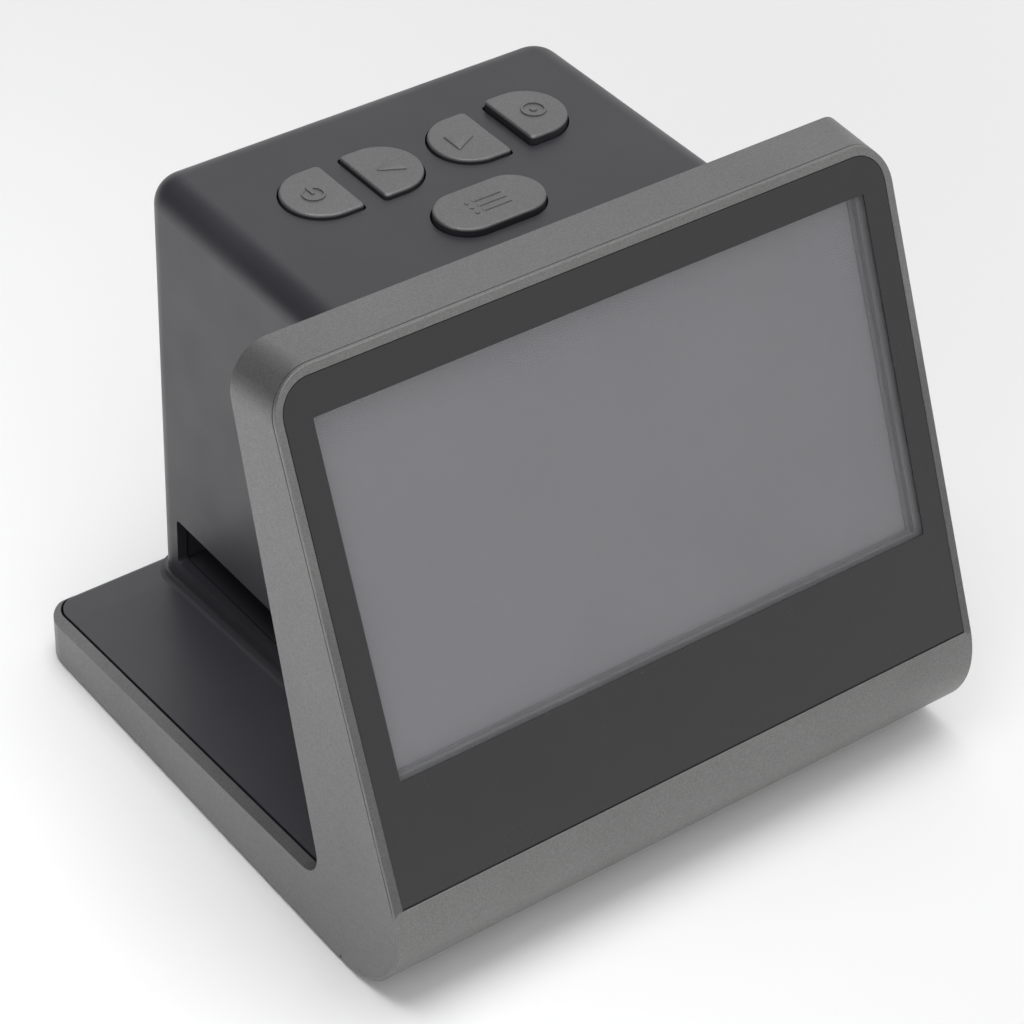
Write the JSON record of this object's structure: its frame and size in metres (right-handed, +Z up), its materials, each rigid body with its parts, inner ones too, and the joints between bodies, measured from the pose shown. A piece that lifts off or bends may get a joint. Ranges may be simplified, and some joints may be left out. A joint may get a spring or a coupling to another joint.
{
  "type": "slide viewer",
  "caption": "Desktop slide and film viewer: a tilted screen in a metallic frame, a camera box behind it with push buttons on top, and a through slot for film.",
  "frame": {"origin": "on the table under the middle of the footprint", "axes": "+X to the right as seen from the screen side, +Y from the screen towards the camera box, +Z up"},
  "size_m": [0.1248, 0.1154, 0.1082],
  "materials": {
    "gunmetal": "satin metallic paint on moulded plastic",
    "black": "fine moulded texture",
    "lens": "gloss, printed border round a clear window",
    "glass": "polished",
    "steel": "plated",
    "board": "solder mask",
    "chip": "moulded resin",
    "ribbon": "polyimide film",
    "rubber": "soft",
    "opal": "translucent white",
    "white": "reflective white"
  },
  "bodies": {
    "viewer": {"back_switch": "chip", "bottom_cover": "black", "card_socket": "steel", "cover_screw_1": "steel", "cover_screw_2": "steel", "cover_screw_3": "steel", "cover_screw_4": "steel", "detent_spring": "steel", "diffuser": "opal", "display_backlight": "steel", "display_bracket": "steel", "display_panel": "glass", "display_ribbon": "ribbon", "film_guide": "black", "film_stage": "black", "foot_back_left": "rubber", "foot_back_right": "rubber", "foot_front_left": "rubber", "foot_front_right": "rubber", "forward_switch": "chip", "front_bezel": "gunmetal", "front_lens": "glass", "hdmi_socket": "steel", "image_sensor": "glass", "key_board": "board", "key_board_screw_1": "steel", "key_board_screw_2": "steel", "key_ribbon": "ribbon", "led_board": "board", "lens_barrel": "black", "lens_panel": "lens", "light_box": "white", "light_tunnel": "black", "main_board": "board", "main_board_screw_1": "steel", "main_board_screw_2": "steel", "outer_shell": "gunmetal", "port_board": "board", "port_ribbon": "ribbon", "power_switch": "chip", "rear_housing": "black", "rear_lens": "glass", "scan_switch": "chip", "select_switch": "chip", "sensor_board": "board", "sensor_board_screw_1": "steel", "sensor_board_screw_2": "steel", "sensor_ribbon": "ribbon", "usb_socket": "steel"},
    "power_button": {"power_key": "gunmetal", "power_plunger": "steel"},
    "back_button": {"back_key": "gunmetal", "back_plunger": "steel"},
    "forward_button": {"forward_key": "gunmetal", "forward_plunger": "steel"},
    "select_button": {"select_key": "gunmetal", "select_plunger": "steel"},
    "scan_button": {"scan_key": "gunmetal", "scan_plunger": "steel"},
    "detent": {"detent_plunger": "steel"}
  },
  "joints": [
    {"name": "power_press", "type": "slide", "parent": "viewer", "child": "power_button", "axis": [0, 0, -1], "range_m": [0, 0.0005], "stiffness_N_per_m": 800, "springref_m": -0.0003},
    {"name": "back_press", "type": "slide", "parent": "viewer", "child": "back_button", "axis": [0, 0, -1], "range_m": [0, 0.0005], "stiffness_N_per_m": 800, "springref_m": -0.0003},
    {"name": "forward_press", "type": "slide", "parent": "viewer", "child": "forward_button", "axis": [0, 0, -1], "range_m": [0, 0.0005], "stiffness_N_per_m": 800, "springref_m": -0.0003},
    {"name": "select_press", "type": "slide", "parent": "viewer", "child": "select_button", "axis": [0, 0, -1], "range_m": [0, 0.0005], "stiffness_N_per_m": 800, "springref_m": -0.0003},
    {"name": "scan_press", "type": "slide", "parent": "viewer", "child": "scan_button", "axis": [0, 0, -1], "range_m": [0, 0.0005], "stiffness_N_per_m": 800, "springref_m": -0.0003},
    {"name": "detent_press", "type": "slide", "parent": "viewer", "child": "detent", "axis": [0, 0, -1], "range_m": [0, 0.0008], "stiffness_N_per_m": 400, "springref_m": -0.0005, "deforming": ["detent_spring"]}
  ]
}
